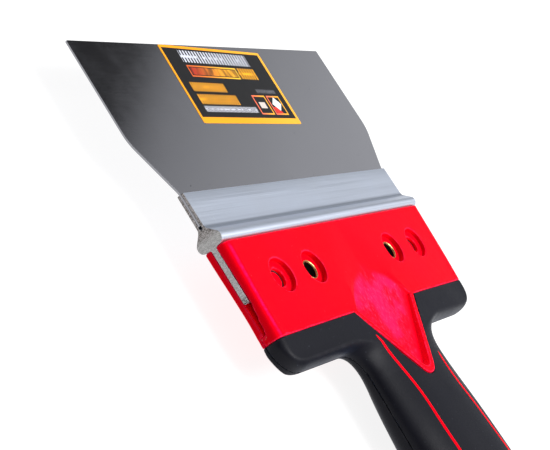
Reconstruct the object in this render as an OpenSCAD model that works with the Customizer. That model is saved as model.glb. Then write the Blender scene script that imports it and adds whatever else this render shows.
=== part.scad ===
// Wide filling knife (facade spatula) with a crimped aluminium blade holder
// and a two-part handle. Millimetres, +X across the blade, +Y towards the
// working edge, +Z up. The origin is below the middle of the tool, at the
// level that the grip rests on.

/* [Blade] */
// Width of the working edge
blade_w = 150; // [140:1:160]
// Thickness of the spring steel sheet
blade_t = 0.6; // [0.4:0.1:0.8]
// Length of the straight sides behind the working edge
blade_side_l = 34.4; // [25:0.1:40]
// Length of the sheet in front of the holder
blade_free_l = 52.2; // [48:0.1:58]
// Length of the sheet gripped inside the holder
blade_tuck_l = 10.4; // [8:0.1:11]

/* [Label] */
// Width of the label
label_w = 59.5; // [40:0.1:64]
// Length of the label along the tool
label_l = 29.3; // [20:0.1:32]
// Angle by which the label is stuck on askew
label_turn = -2; // [-3:0.5:3]
// Thickness of the label film
label_t = 0.1; // [0.05:0.05:0.2]

/* [Holder] */
// Width of the holder and of the front of the handle
holder_w = 131.4; // [126:0.2:134]
// Thickness over the two lips at their front edge
lip_front_t = 2.3; // [2:0.1:3]
// Thickness over the two lips at the waist
lip_waist_t = 2.6; // [2.4:0.1:3.2]
// Length of the lips
lip_l = 11.4; // [11.3:0.1:12]
// Thickness over the bead
bead_t = 9; // [8.4:0.1:10]
// Radius of the rounded top and bottom of the bead
bead_r = 2; // [1.7:0.1:2]
// Thickness of the tongue inside the handle
tongue_t = 1.8; // [1.6:0.1:2.4]
// Length of the tongue behind the bead
tongue_l = 17.6; // [17:0.1:20]

/* [Housing] */
// Length of the red housing behind the bead
housing_l = 30.1; // [29:0.1:32]
// Height of the flat top above the middle of the blade
housing_top = 4.3; // [4:0.1:4.8]
// Depth of the underside below the middle of the blade at the front
housing_bottom = 3.4; // [3.2:0.1:4]
// Radius along the upper side edges
side_r = 3.4; // [2:0.1:3.6]
// Amount by which each side runs in towards the rear
side_taper = 0.3; // [0:0.1:3]
// Length of the wedge that runs from the housing down the grip
wedge_l = 25.5; // [22:0.1:27]
// Width of the wedge at the housing
wedge_w = 43; // [38:0.2:44]
// Width of the raised rim round the thumb rest
rim_w = 1.8; // [1.2:0.1:2.4]
// Depth of the thumb rest at its rear
rest_depth = 1.5; // [0.8:0.1:1.8]

/* [Rivets and pegs] */
// Distance of the two tube rivets from the middle
rivet_x = 27.7; // [24:0.1:30]
// Distance of the two locating pegs from the middle
peg_x = 46.5; // [42:0.1:50]
// Distance of rivets and pegs behind the front of the housing
fixing_s = 13.3; // [13:0.1:13.8]
// Radius of the recess round each fixing
recess_r = 5.4; // [5:0.1:6]
// Depth of the recess
recess_depth = 2; // [1.6:0.1:2.2]
// Outer radius of the rivet tube
rivet_r = 2.9; // [2.6:0.1:3.1]
// Wall thickness of the rivet tube
rivet_wall = 0.3; // [0.25:0.05:0.4]
// Radius of the rolled rivet rims
rivet_rim_r = 3.2; // [3.2:0.1:3.6]

/* [Grip] */
// Length of the whole tool
tool_l = 232; // [225:1:240]
// Thickness of the soft skin over the core
skin_t = 2.2; // [1.6:0.1:2.6]
// Corner radius of the shoulders
shoulder_r = 9; // [7:0.5:9.5]
// Length of the shoulders behind the housing
shoulder_l = 9.7; // [9.5:0.1:11]
// Radius of the hollow between shoulder and neck
neck_fillet_r = 9; // [7:0.5:10]
// Radius of the hanging hole
hang_r = 4.5; // [3.5:0.1:5]
// Width of each accent rib
rib_w = 1.3; // [0.8:0.1:1.6]

/* [Hidden] */
$fn = 64;
cut = 0.01;
far = 400;
above = 20;
below = -20;

// Places along the tool, measured back from the working edge
waist_s = blade_free_l + lip_l;
bead_s = waist_s + 4.2;
front_s = bead_s + 2.1;
tongue_end_s = front_s + tongue_l;
rear_s = front_s + housing_l;
slot_end_s = rear_s - 2.8;
fixing_y = front_s + fixing_s;
wedge_tip_s = rear_s + wedge_l;
hang_s = tool_l - 10.5;

// Heights, measured from the middle of the blade
slot_z = tongue_t / 2;
part_z = -2.4;
rear_w = holder_w - 2 * side_taper;

// Floors of the recesses round the rivets
recess_top = housing_top - recess_depth;
recess_low = recess_depth - housing_bottom - 0.5;
fixing_play = 0.2;
peg_hole_r = 3;

// Handle sections by place behind the housing's rear: height of the top in
// the middle and at the sides, depth of the bottom, and how far the rounding
// of the upper and of the lower edge reaches inwards
sections = [
    [front_s - rear_s, housing_top, housing_top, housing_bottom, side_r, 0.8],
    [0, housing_top + 0.1, housing_top - 1.3, housing_bottom + 0.3, side_r, 1.2],
    [9.7, 4.5, 2.7, 5, 5, 3],
    [13, 4.5, 3.6, 6.8, 14, 12],
    [21, 4.6, 4.5, 9.3, 21, 21],
    [42, 5.9, 5.8, 12.3, 22, 22],
    [68, 7.2, 7.1, 14.6, 21, 21],
    [100, 5.6, 5.5, 13.2, 18, 18],
    [118, 4.2, 4.1, 11.4, 16, 16],
    [132, 3.6, 3.5, 10.4, 15, 15]
];
// Half width of the grip by place behind the housing's rear
neck_half_w = 23.1;
grip_widths = [[19, neck_half_w], [26, 23.3], [42, 24], [68, 23], [100, 19.4], [118, 18], [132, 17.4]];
edge_square = 2.4;
belly = 0.15;
rest_run = 12;
edge_steps = 6;
ring_step = 6;
grip_end_l = 15;
grip_l = tool_l - grip_end_l - rear_s;
hollow_p = shoulder_l + neck_fillet_r;
grip_n = round((grip_l - hollow_p) / ring_step);
grip_places = [for (k = [0 : grip_n]) hollow_p + (grip_l - hollow_p) * k / grip_n];
grip_low = max([for (p = grip_places) eased(sections, p, 3)]) + belly;

// Flat faces of the ring round the hanging hole
hang_ring = 2;
hang_top = 3;
hang_low = 9.4;

// Accent ribs: place behind the housing and distance from the middle. The
// right one starts further back.
rib_line = [[8.5, 18], [17, 14.8], [27, 13], [42, 13.8], [70, 14], [100, 9]];
rib_steps = 12;
rib_right_p = 20;

// Core under the skin, and the pegs that join its halves
core_top = 0.9;
core_low = 6.4;
core_edge = 5;
core_plate_top = 0.5;
core_plate_low = 3.8;
core_wall = 2.6;
core_pegs = [34, 62, 90];
peg_r = 1.6;
post_r = 3.6;

// --- shared helpers ---

// Moves a node from the middle of the working edge to the part's own frame
module placed() {
    translate([0, tool_l / 2, grip_low]) children();
}

// Value of one column of a table at a place, eased between its rows
function eased(tab, at, col, i = 0) =
    at <= tab[0][0] ? tab[0][col] :
    i >= len(tab) - 1 ? tab[len(tab) - 1][col] :
    at > tab[i + 1][0] ? eased(tab, at, col, i + 1) :
    let (span = tab[i + 1][0] - tab[i][0],
         u = (at - tab[i][0]) / span,
         m0 = slope(tab, i, col) * span,
         m1 = slope(tab, i + 1, col) * span)
    (2 * u ^ 3 - 3 * u ^ 2 + 1) * tab[i][col] + (u ^ 3 - 2 * u ^ 2 + u) * m0
    + (3 * u ^ 2 - 2 * u ^ 3) * tab[i + 1][col] + (u ^ 3 - u ^ 2) * m1;

// Slope of a table column at one of its rows
function slope(tab, i, col) =
    let (a = max(i - 1, 0), b = min(i + 1, len(tab) - 1))
    (tab[b][col] - tab[a][col]) / (tab[b][0] - tab[a][0]);

// Half width of the handle at a place behind the housing's rear
function half_width(p) =
    let (corner = shoulder_l - shoulder_r)
    p <= 0 ? rear_w / 2 - side_taper * p / housing_l :
    p <= corner ? rear_w / 2 :
    p <= shoulder_l ? rear_w / 2 - shoulder_r + sqrt(shoulder_r ^ 2 - (p - corner) ^ 2) :
    p <= hollow_p ? neck_half_w + neck_fillet_r - sqrt(neck_fillet_r ^ 2 - (hollow_p - p) ^ 2) :
    eased(grip_widths, p, 1);

// Quarter of a squared-off oval, from its side to its top or bottom
function edge_arc(x0, z0, dx, dz, k) =
    let (a = 90 * k / edge_steps)
    [x0 + dx * cos(a) ^ (2 / edge_square), z0 + dz * sin(a) ^ (2 / edge_square)];

// Right half of one section, from the middle of the bottom to the middle of the top
function half_ring(p, w, shrink) =
    let (v = [for (col = [1 : 5]) eased(sections, p, col)],
         squash = 0.5 + 0.5 * shrink,
         mid = (v[0] - part_z) * squash,
         side = (v[1] - part_z) * squash,
         down = (v[2] + part_z) * squash,
         up_x = min(v[3], 0.9 * w),
         low_x = min(v[4], 0.9 * w),
         up_z = min(v[3], 0.96 * side),
         low_z = min(v[4], 0.96 * down))
    concat(
        [for (u = [0, 0.5]) [(w - low_x) * u, -down - belly * (1 - u ^ 2)]],
        [for (k = [edge_steps : -1 : 0]) edge_arc(w - low_x, low_z - down, low_x, -low_z, k)],
        [[w, 0]],
        [for (k = [0 : edge_steps]) edge_arc(w - up_x, side - up_z, up_x, up_z, k)],
        [for (u = [0.66, 0.33, 0]) [(w - up_x) * u, mid + (side - mid) * u ^ 2]]);

// Whole section, placed along the tool
function ring(p, w, shrink = 1) =
    let (half = half_ring(p, w, shrink), n = len(half))
    concat([for (q = half) [q[0], -rear_s - p, part_z + q[1]]],
           [for (k = [n - 2 : -1 : 1]) [-half[k][0], -rear_s - p, part_z + half[k][1]]]);

// Solid through a list of rings with the same number of points
module loft(rings) {
    n = len(rings[0]);
    last = len(rings) - 1;
    sides = [for (r = [0 : last - 1], k = [0 : n - 1])
        [r * n + k, (r + 1) * n + k, (r + 1) * n + (k + 1) % n, r * n + (k + 1) % n]];
    polyhedron(
        points = [for (ring = rings, p = ring) p],
        faces = concat([[for (k = [0 : n - 1]) k]], sides,
                       [[for (k = [n - 1 : -1 : 0]) last * n + k]]),
        convexity = 6);
}

// Block that spans the whole width between two places and two heights
module slab(s0, s1, z0, z1) {
    translate([-far / 2, -s1, z0]) cube([far, s1 - s0, z1 - z0]);
}

// Upright cylinders at both sides of the middle
module at_pair(x) {
    for (side = [-1, 1])
        translate([side * x, -fixing_y, 0]) children();
}

// --- outer form of the handle ---

// One closed form from the front of the housing to the end of the grip
module handle_form() {
    corner = shoulder_l - shoulder_r;
    front = [for (p = [-housing_l, 0, corner]) ring(p, half_width(p))];
    corners = [for (a = [20 : 20 : 80])
        ring(corner + shoulder_r * sin(a), rear_w / 2 - shoulder_r * (1 - cos(a)))];
    step = [ring(shoulder_l - cut, rear_w / 2 - shoulder_r),
            ring(shoulder_l, neck_half_w + neck_fillet_r)];
    hollows = [for (a = [70 : -20 : 10])
        let (p = hollow_p - neck_fillet_r * sin(a)) ring(p, half_width(p))];
    grip = [for (p = grip_places) ring(p, half_width(p))];
    end = [for (a = [20, 40, 60, 75, 84, 89])
        let (p = grip_l + grip_end_l * sin(a)) ring(p, half_width(p) * cos(a) ^ 0.8, cos(a))];
    loft(concat(front, corners, step, hollows, grip, end));
}

// Core under the soft skin between two heights, without the part seen outside
module core_block(plate_z0, plate_z1, grip_z0, grip_z1) {
    plate_half = rear_w / 2 - skin_t - 0.4;
    plate_r = shoulder_r - skin_t;
    plate_end = shoulder_l - skin_t;
    translate([0, 0, plate_z0]) linear_extrude(plate_z1 - plate_z0) {
        core_plan(core_edge, 4);
        translate([-plate_half, -rear_s - plate_end + plate_r])
            square([2 * plate_half, plate_end - plate_r]);
        translate([plate_r - plate_half, -rear_s - plate_end])
            square([2 * (plate_half - plate_r), plate_end]);
        for (side = [-1, 1])
            translate([side * (plate_half - plate_r), -rear_s - plate_end + plate_r])
                circle(plate_r);
    }
    translate([0, 0, grip_z0]) linear_extrude(grip_z1 - grip_z0) core_plan(core_edge, 14);
}

// Plan of the core in the grip
module core_plan(inset, first) {
    last = tool_l - rear_s - grip_end_l;
    places = [first, 19, 42, 68, 90, last];
    right = [for (p = places) [min(half_width(p), neck_half_w + 1) - inset, -rear_s - p]];
    polygon(concat(right, [for (k = [len(right) - 1 : -1 : 0]) [-right[k][0], right[k][1]]]));
    translate([0, -rear_s - last]) circle(half_width(last) - inset - 3);
}

// Upright prism over the wedge that carries the thumb rest
module wedge(inset, z0, z1) {
    half = wedge_w / 2 - inset;
    tip_r = 2.4 - inset;
    tip_s = wedge_tip_s - inset - tip_r;
    translate([0, 0, z0]) linear_extrude(z1 - z0) {
        polygon([[-half, -rear_s + cut], [half, -rear_s + cut],
                 [tip_r * 0.8, -tip_s - tip_r * 0.6], [-tip_r * 0.8, -tip_s - tip_r * 0.6]]);
        translate([0, -tip_s]) circle(tip_r);
    }
}

// Plan of the two accent ribs
module rib_plan() {
    last = rib_line[len(rib_line) - 1][0];
    for (side = [-1, 1]) {
        first = side > 0 ? rib_right_p : rib_line[0][0];
        places = [for (k = [0 : rib_steps]) first + (last - first) * k / rib_steps];
        polygon(concat(
            [for (p = places) [side * (eased(rib_line, p, 1) - rib_w / 2), -rear_s - p]],
            [for (k = [rib_steps : -1 : 0])
                [side * (eased(rib_line, places[k], 1) + rib_w / 2), -rear_s - places[k]]]));
    }
}

// Where the core comes up through the soft skin
module shown_core() {
    wedge(0, part_z, above);
    translate([0, 0, part_z]) linear_extrude(above) rib_plan();
    translate([0, -hang_s, part_z]) cylinder(h = above, r = hang_r + hang_ring);
}

// --- parts ---

module blade() {
    back_s = blade_free_l + blade_tuck_l;
    color([0.62, 0.64, 0.68])
        translate([0, 0, -blade_t / 2]) linear_extrude(blade_t)
            polygon([[-blade_w / 2, 0], [blade_w / 2, 0],
                     [blade_w / 2, -blade_side_l], [holder_w / 2, -blade_free_l],
                     [holder_w / 2, -back_s], [-holder_w / 2, -back_s],
                     [-holder_w / 2, -blade_free_l], [-blade_w / 2, -blade_side_l]]);
}

module blade_label() {
    color([0.95, 0.6, 0.1])
        translate([-1, -label_l / 2 - 1.1, blade_t / 2]) rotate([0, 0, label_turn])
            translate([-label_w / 2, -label_l / 2, 0]) cube([label_w, label_l, label_t]);
}

// Half of the holder's section, from the blade's middle upwards
module holder_half() {
    front = lip_front_t / 2;
    waist = lip_waist_t / 2;
    polygon([[-blade_free_l, 0], [-blade_free_l, front - 0.3],
             [-blade_free_l - 0.3, front], [-waist_s, waist],
             [bead_r * cos(45) - bead_s, bead_t / 2 - bead_r * (1 - sin(45))],
             [-bead_s - bead_r, bead_t / 2 - bead_r - 0.4],
             [-front_s, slot_z], [-tongue_end_s, slot_z], [-tongue_end_s, 0]]);
    translate([-bead_s, bead_t / 2 - bead_r]) circle(bead_r);
}

module blade_holder() {
    blade_end = blade_free_l + blade_tuck_l;
    color([0.74, 0.76, 0.79]) difference() {
        rotate([90, 0, 90]) linear_extrude(holder_w, center = true) difference() {
            union() {
                holder_half();
                mirror([0, 1]) holder_half();
            }
            translate([-blade_end, -blade_t / 2]) square([blade_tuck_l + cut, blade_t]);
            translate([-blade_end, 0]) circle(blade_t, $fn = 32);
        }
        at_pair(rivet_x) cylinder(h = far, r = rivet_r, center = true);
        at_pair(peg_x) cylinder(h = far, r = peg_hole_r + fixing_play, center = true);
    }
}

// Tubular rivets with a rolled rim at each end
module tube_rivets() {
    color([0.78, 0.6, 0.3]) at_pair(rivet_x) rotate_extrude() {
        translate([rivet_r - rivet_wall, recess_low])
            square([rivet_wall, recess_top - recess_low + rivet_wall]);
        for (z = [recess_top, recess_low - rivet_wall])
            translate([rivet_r - rivet_wall, z])
                square([rivet_rim_r - rivet_r + rivet_wall, rivet_wall]);
    }
}

// Hole and recess for each of the four fixings, from above
module fixing_cuts() {
    at_pair(rivet_x) {
        cylinder(h = far, r = rivet_r, center = true);
        translate([0, 0, recess_top]) cylinder(h = far, r = recess_r);
    }
    at_pair(peg_x) {
        translate([0, 0, slot_z - 1]) cylinder(h = housing_top - slot_z, r = peg_hole_r);
        translate([0, 0, recess_top]) cylinder(h = far, r = recess_r);
    }
}

// Pockets inside one half of the core, around the posts of the pegs
module core_pockets(z, depth) {
    difference() {
        translate([0, 0, z]) linear_extrude(depth) intersection() {
            core_plan(core_edge + core_wall, 19);
            translate([-far / 2, 20 - hang_s]) square([far, hang_s - 20 - wedge_tip_s - 3]);
        }
        for (p = core_pegs)
            translate([0, -rear_s - p, z - 1]) cylinder(h = depth + 2, r = post_r);
    }
}

// Hollow for the thumb, which deepens towards the tip of the wedge
module thumb_rest() {
    run = wedge_l + rest_run;
    translate([0, rest_run - rear_s, housing_top + 0.2]) rotate([atan(rest_depth / run), 0, 0])
        translate([0, rear_s - rest_run, 0]) {
            wedge(rim_w, 0, above);
            translate([-wedge_w / 2 + 2 * rim_w, -rear_s, 0])
                cube([wedge_w - 4 * rim_w, rest_run, above]);
        }
}

module upper_shell() {
    color([0.93, 0.03, 0.1]) difference() {
        union() {
            intersection() {
                handle_form();
                union() {
                    slab(front_s, rear_s, slot_z, above);
                    slab(slot_end_s, rear_s, part_z, above);
                    shown_core();
                }
            }
            core_block(part_z, core_plate_top, part_z, core_top);
        }
        thumb_rest();
        core_pockets(part_z - cut, core_top - part_z - core_wall / 2);
        fixing_cuts();
        translate([0, -hang_s, 0]) cylinder(h = far, r = hang_r, center = true);
        translate([0, -hang_s, hang_top]) cylinder(h = above, r = hang_r + hang_ring);
        for (p = core_pegs)
            translate([0, -rear_s - p, part_z - cut]) cylinder(h = 2.4, r = peg_r + 0.1);
    }
}

module lower_shell() {
    color([0.85, 0.02, 0.12]) difference() {
        union() {
            intersection() {
                handle_form();
                union() {
                    slab(front_s, slot_end_s, below, -slot_z);
                    slab(front_s, rear_s, below, part_z);
                    translate([0, -hang_s, below]) cylinder(h = part_z - below, r = hang_r + hang_ring);
                }
            }
            core_block(-core_plate_low, part_z, -core_low, part_z);
            at_pair(peg_x)
                translate([0, 0, -slot_z - cut]) cylinder(h = 2 * slot_z + 0.2, r = peg_hole_r - fixing_play);
            for (p = core_pegs)
                translate([0, -rear_s - p, part_z - 1]) cylinder(h = 3.2, r = peg_r);
        }
        core_pockets(core_wall - core_low, core_low - core_wall + part_z + cut);
        at_pair(rivet_x) {
            cylinder(h = far, r = rivet_r, center = true);
            translate([0, 0, recess_low - far])
                cylinder(h = far, r = recess_r);
        }
        translate([0, -hang_s, 0]) cylinder(h = far, r = hang_r, center = true);
        translate([0, -hang_s, below - hang_low]) cylinder(h = -below, r = hang_r + hang_ring);
    }
}

module upper_grip() {
    color([0.13, 0.15, 0.18]) difference() {
        intersection() {
            handle_form();
            slab(rear_s, far, part_z, above);
        }
        core_block(part_z - 1, core_plate_top, part_z - 1, core_top);
        shown_core();
    }
}

module lower_grip() {
    color([0.11, 0.13, 0.16]) difference() {
        intersection() {
            handle_form();
            slab(rear_s, far, below, part_z);
        }
        core_block(-core_plate_low, part_z + 1, -core_low, part_z + 1);
        translate([0, -hang_s, below]) cylinder(h = above - below, r = hang_r + hang_ring);
    }
}

placed() blade();
placed() blade_label();
placed() blade_holder();
placed() upper_shell();
placed() lower_shell();
placed() upper_grip();
placed() lower_grip();
placed() tube_rivets();
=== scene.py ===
import math

import bmesh
import bpy
import numpy as np
from mathutils import Matrix, Vector


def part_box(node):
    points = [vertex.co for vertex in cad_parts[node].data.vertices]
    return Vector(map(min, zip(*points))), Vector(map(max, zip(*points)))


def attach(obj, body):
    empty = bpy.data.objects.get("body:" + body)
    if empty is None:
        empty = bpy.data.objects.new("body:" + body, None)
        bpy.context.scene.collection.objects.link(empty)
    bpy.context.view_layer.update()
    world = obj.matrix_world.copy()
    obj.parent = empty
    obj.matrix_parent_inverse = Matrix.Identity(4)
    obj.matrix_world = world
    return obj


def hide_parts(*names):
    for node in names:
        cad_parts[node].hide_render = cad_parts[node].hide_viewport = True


# Looks for a wide filling knife: polished blade with a printed label,
# aluminium holder, red two-part handle and soft grip.
# Shapes are worked out in millimetres from the middle of the working edge:
# x across, y forwards, z above the middle of the blade sheet.

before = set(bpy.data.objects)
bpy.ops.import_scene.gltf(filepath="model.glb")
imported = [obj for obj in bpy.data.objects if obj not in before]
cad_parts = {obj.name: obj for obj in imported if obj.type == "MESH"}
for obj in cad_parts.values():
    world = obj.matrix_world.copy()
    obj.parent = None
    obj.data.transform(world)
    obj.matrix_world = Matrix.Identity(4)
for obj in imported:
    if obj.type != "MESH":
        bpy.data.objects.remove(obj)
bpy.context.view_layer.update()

MM = 0.001
blade_low, blade_high = (Vector(c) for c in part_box("blade"))
EDGE_MID = Vector((0.0, blade_high.y, (blade_low.z + blade_high.z) / 2))


def node_box(name):
    """Box of a CAD node in the tool's millimetres."""
    low, high = (np.array((Vector(c) - EDGE_MID) / MM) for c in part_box(name))
    return low, high


# --- driving sizes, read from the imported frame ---

BLADE = node_box("blade")
LABEL = node_box("blade_label")
HOLDER = node_box("blade_holder")
SHELL = node_box("upper_shell")
GRIP = node_box("upper_grip")
UNDER = node_box("lower_grip")
RIVETS = node_box("tube_rivets")

BLADE_T = BLADE[1][2] - BLADE[0][2]
BLADE_SIDE_L = 34.4              # straight sides behind the working edge
LABEL_W, LABEL_L = 59.5, 29.3
LABEL_TURN = -2.0                # the label is stuck on askew
FRONT_Y = SHELL[1][1]            # front of the red housing
REAR_Y = GRIP[1][1]              # rear of the housing, front of the rubber
END_Y = GRIP[0][1]               # end of the grip
PART_Z = GRIP[0][2]              # plane where the halves of the handle meet
HALF_FRONT = HOLDER[1][0]        # half width of the housing's front
LOWEST_Z = UNDER[0][2]
LIP_Y = HOLDER[1][1]             # front of the holder's lips
TONGUE_Y = HOLDER[0][1]          # rear end of the holder's tongue
RIM_R = 3.2                      # rolled rim of the rivets
RIVET_X = RIVETS[1][0] - RIM_R
RIVET_Y = (RIVETS[0][1] + RIVETS[1][1]) / 2

SIDE_TAPER = 0.3                 # each side of the housing runs in by this much
SHOULDER_L = 9.7                 # soft shoulders behind the housing
SHOULDER_R = 9.0
NECK_R = 9.0                     # hollow between shoulder and neck
TOP_Z = 4.3                      # flat top of the housing
SLOT_Z = 0.9                     # half thickness of the tongue in its slot
SLOT_END_Y = REAR_Y + 2.8
TUBE_R = 2.9                     # tube of the rivets
PEG_HOLE_R = 3.0
SKIN_T = 2.2                     # soft skin over the core
PEG_X = 46.5
RECESS_R = 5.4
RECESS_D = 2.0
WEDGE_HALF = 21.5                # wedge that carries the thumb rest
WEDGE_APEX = 29.0
WEDGE_ROUND = 7.1
RIM_W = 1.9
REST_DEPTH = 2.3                 # of the thumb rest near the wedge's tip
NOSE_L = 15.0                    # rounded end of the grip
HANG_P = REAR_Y - END_Y - 10.5   # place of the hanging hole
HANG_R = 4.5
HANG_RING = 2.0                  # red ring round the hanging hole
PLAY = 0.05                      # air round the rivets and over the core
PEG_GAP = 0.8                    # air round the pegs in the tongue
SLOT_FALL = 1.1                  # the slot's roof comes down by this behind the tongue
UNDER_RECESS_Z = -1.9            # floor of the recesses under the rivets
PEG_TOP_Z = 1.1

# Sections of the handle by place behind the housing: height of the top, drop
# of the top towards the sides, depth of the bottom, reach of the upper and of
# the lower rounding
SECTIONS = np.array([
    (-30.1, 4.3, 0.0, 3.4, 3.4, 0.8),
    (0.0, 4.4, 1.4, 3.7, 3.4, 1.2),
    (9.7, 4.5, 1.8, 5.0, 5.0, 3.0),
    (13.0, 4.5, 0.9, 6.8, 14.0, 12.0),
    (21.0, 4.6, 0.6, 9.3, 21.0, 21.0),
    (42.0, 5.9, 0.3, 12.3, 22.0, 22.0),
    (68.0, 7.2, 0.3, 14.6, 21.0, 21.0),
    (100.0, 5.6, 0.3, 13.2, 18.0, 18.0),
    (118.0, 4.2, 0.3, 11.4, 16.0, 16.0),
    (132.0, 3.6, 0.3, 10.4, 15.0, 15.0)])
WIDTHS = np.array([(19, 23.1), (26, 23.3), (42, 24), (68, 23), (100, 19.4), (118, 18), (132, 17.4)])
RIBS = np.array([(8.5, 18), (17, 14.8), (27, 13), (42, 13.8), (70, 14), (100, 9)])
RIB_W = 1.3
RIB_T = 1.2
RIB_PROUD = 0.16                 # crown of the ribs
RIB_SUNK = 0.04                  # their sides start this far below the skin
RIB_RIGHT_P = 20.0               # the right rib starts further back
RIB_BLUNT_L = 1.4                # rounding of a rib's front end
RIB_FADE_L = 6.0                 # and of its rear end
EDGE_POWER = 2.4                 # squareness of the handle's long edges


# --- fields: negative inside, about one per millimetre ---

def eased(table, at, column):
    """Column of a table at the places given, on a smooth curve through its rows."""
    x, y = table[:, 0], table[:, column]
    slope = np.gradient(y, x)
    at = np.clip(at, x[0], x[-1])
    i = np.clip(np.searchsorted(x, at) - 1, 0, len(x) - 2)
    span = x[i + 1] - x[i]
    u = (at - x[i]) / span
    return ((2 * u**3 - 3 * u**2 + 1) * y[i] + (u**3 - 2 * u**2 + u) * slope[i] * span
            + (3 * u**2 - 2 * u**3) * y[i + 1] + (u**3 - u**2) * slope[i + 1] * span)


def both(a, b, r):
    """What two solids share, with their common edge rounded."""
    return np.minimum(np.maximum(a, b), -r) + np.hypot(np.maximum(a + r, 0), np.maximum(b + r, 0))


def either(a, b, r):
    """Two solids joined, with a fillet where they meet."""
    return -both(-a, -b, r)


def soft_step(a, b, v):
    """0 at a, 1 at b, smooth between."""
    u = np.clip((v - a) / (b - a), 0, 1)
    return u * u * (3 - 2 * u)


def plan(x, p):
    """Outline of the handle from above: housing, shoulders, neck and rounded end."""
    side = HALF_FRONT - SIDE_TAPER * np.clip(1 + p / (FRONT_Y - REAR_Y), 0, 1)
    wide = both(np.abs(x) - side, p - SHOULDER_L, SHOULDER_R)
    half = eased(WIDTHS, p, 1)
    nose = np.maximum(p - (REAR_Y - END_Y - NOSE_L), 0) / NOSE_L
    neck = half * (((np.abs(x) / half) ** 2.3 + nose**2.3) ** (1 / 2.3) - 1)
    return either(wide, np.maximum(neck, -p - 5), NECK_R)


def bulge(depth, z, top, reach):
    """Squared-off oval edge between an outline and a flat top."""
    rise = np.minimum(reach, 0.96 * top)
    t = np.clip(1 + depth / reach, 0, None)
    s = np.clip(1 + (z - top) / rise, 0, None)
    q = (t**EDGE_POWER + s**EDGE_POWER) ** (1 / EDGE_POWER) + 1e-9
    steep = np.hypot((t / q) ** (EDGE_POWER - 1) / reach, (s / q) ** (EDGE_POWER - 1) / rise)
    return (q - 1) / np.maximum(steep, 1 / 25)


def crest(x, p):
    """Height of the handle's top, which falls a little towards the sides."""
    across = np.minimum(np.abs(x) / 60, 1) ** 2
    return eased(SECTIONS, p, 1) - eased(SECTIONS, p, 2) * across


def handle(x, y, z, inset=0.0):
    """Outer form of the whole handle, or the form of its core under the skin."""
    p = REAR_Y - y
    outline = plan(x, p) + inset
    top = crest(x, p) - PART_Z - inset
    down = eased(SECTIONS, p, 3) + PART_Z - inset
    most = 0.9 * eased(WIDTHS, p, 1) - inset
    up_r = np.clip(eased(SECTIONS, p, 4) - inset, 0.8, most)
    low_r = np.clip(eased(SECTIONS, p, 5) - inset, 0.8, most)
    upper = bulge(outline, z - PART_Z, np.maximum(top, 0.5), up_r)
    lower = bulge(outline, PART_Z - z, np.maximum(down, 0.5), low_r)
    return np.where(z > PART_Z, upper, lower)


def wedge_plan(x, p):
    """Outline of the wedge, with a rounded tip."""
    turn = math.atan2(WEDGE_HALF, WEDGE_APEX)
    right = x * math.cos(turn) - (WEDGE_APEX - p) * math.sin(turn)
    left = -x * math.cos(turn) - (WEDGE_APEX - p) * math.sin(turn)
    return both(right, left, WEDGE_ROUND)


def rim_top(x, p):
    """Top of the wedge's rim, which rises out of the housing's top."""
    return crest(x, p) + 0.45 * soft_step(1, 20, p)


def rest_wall(p):
    """Steepness of the thumb rest's sides: gentle in the housing, steep in the wedge."""
    return 0.12 + 1.7 * soft_step(-12, 3, p)


def thumb_rest(x, p):
    """Height of the thumb rest's surface: a scoop that opens in the housing and
    deepens between the rims towards the wedge's tip."""
    opening = (np.abs(x) - (WEDGE_HALF - RIM_W) * (p + 26) / 26) * 0.8
    inside = -np.maximum(opening, wedge_plan(x, p) + RIM_W)
    wall = inside * rest_wall(p)
    floor = REST_DEPTH * (p + 25) / 48
    gap = np.maximum(0.7 - np.abs(wall - floor), 0)
    return rim_top(x, p) - np.minimum(wall, floor) + gap**2 / 2.8


def fixing(x, y, z, centre_x, r, floor, edge):
    """Round hole of a rivet or peg at both sides, down to a floor."""
    return both(np.hypot(np.abs(x) - centre_x, y - RIVET_Y) - r, floor - z, edge)


def hang_hole(x, p, r):
    """Upright cylinder round the hanging hole's axis."""
    return np.hypot(x, p - HANG_P) - r


def red_upper(x, y, z):
    """Upper half of the housing, with the wedge and the core of the grip."""
    p = REAR_Y - y
    form = handle(x, y, z)
    roof = SLOT_Z + PLAY - SLOT_FALL * soft_step(TONGUE_Y, SLOT_END_Y, y)
    under_slot = np.maximum(z - roof, SLOT_END_Y - y)
    housing = both(both(form, y - FRONT_Y, 0.35), -under_slot, 0.22)
    housing = np.maximum(both(housing, p, 0.2), PART_Z - z)
    wedge = np.maximum(both(wedge_plan(x, p), z - rim_top(x, p), 0.45), -p - 2)
    core = np.maximum(handle(x, y, z, SKIN_T), -1 - p)
    ring = both(hang_hole(x, p, HANG_R + HANG_RING), z - 3.2, 0.5)
    body = np.minimum(housing, np.maximum(wedge, -z))
    body = np.minimum(body, np.maximum(np.minimum(core, ring), PART_Z - z))
    scoop = (z - thumb_rest(x, p)) / np.hypot(1, rest_wall(p))
    soft = 0.25 + 0.6 * soft_step(0, -8, p)
    body = both(body, np.where(p < 27, scoop, -5.0), soft)
    for centre_x in (RIVET_X, PEG_X):
        body = both(body, -fixing(x, y, z, centre_x, RECESS_R, TOP_Z - RECESS_D, 0.5), 0.4)
    body = both(body, -fixing(x, y, z, RIVET_X, TUBE_R + PLAY, -9, 0.2), 0.25)
    body = both(body, -fixing(x, y, z, PEG_X, PEG_HOLE_R, 0.2, 0.2), 0.35)
    return both(body, -hang_hole(x, p, HANG_R), 0.5)


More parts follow.
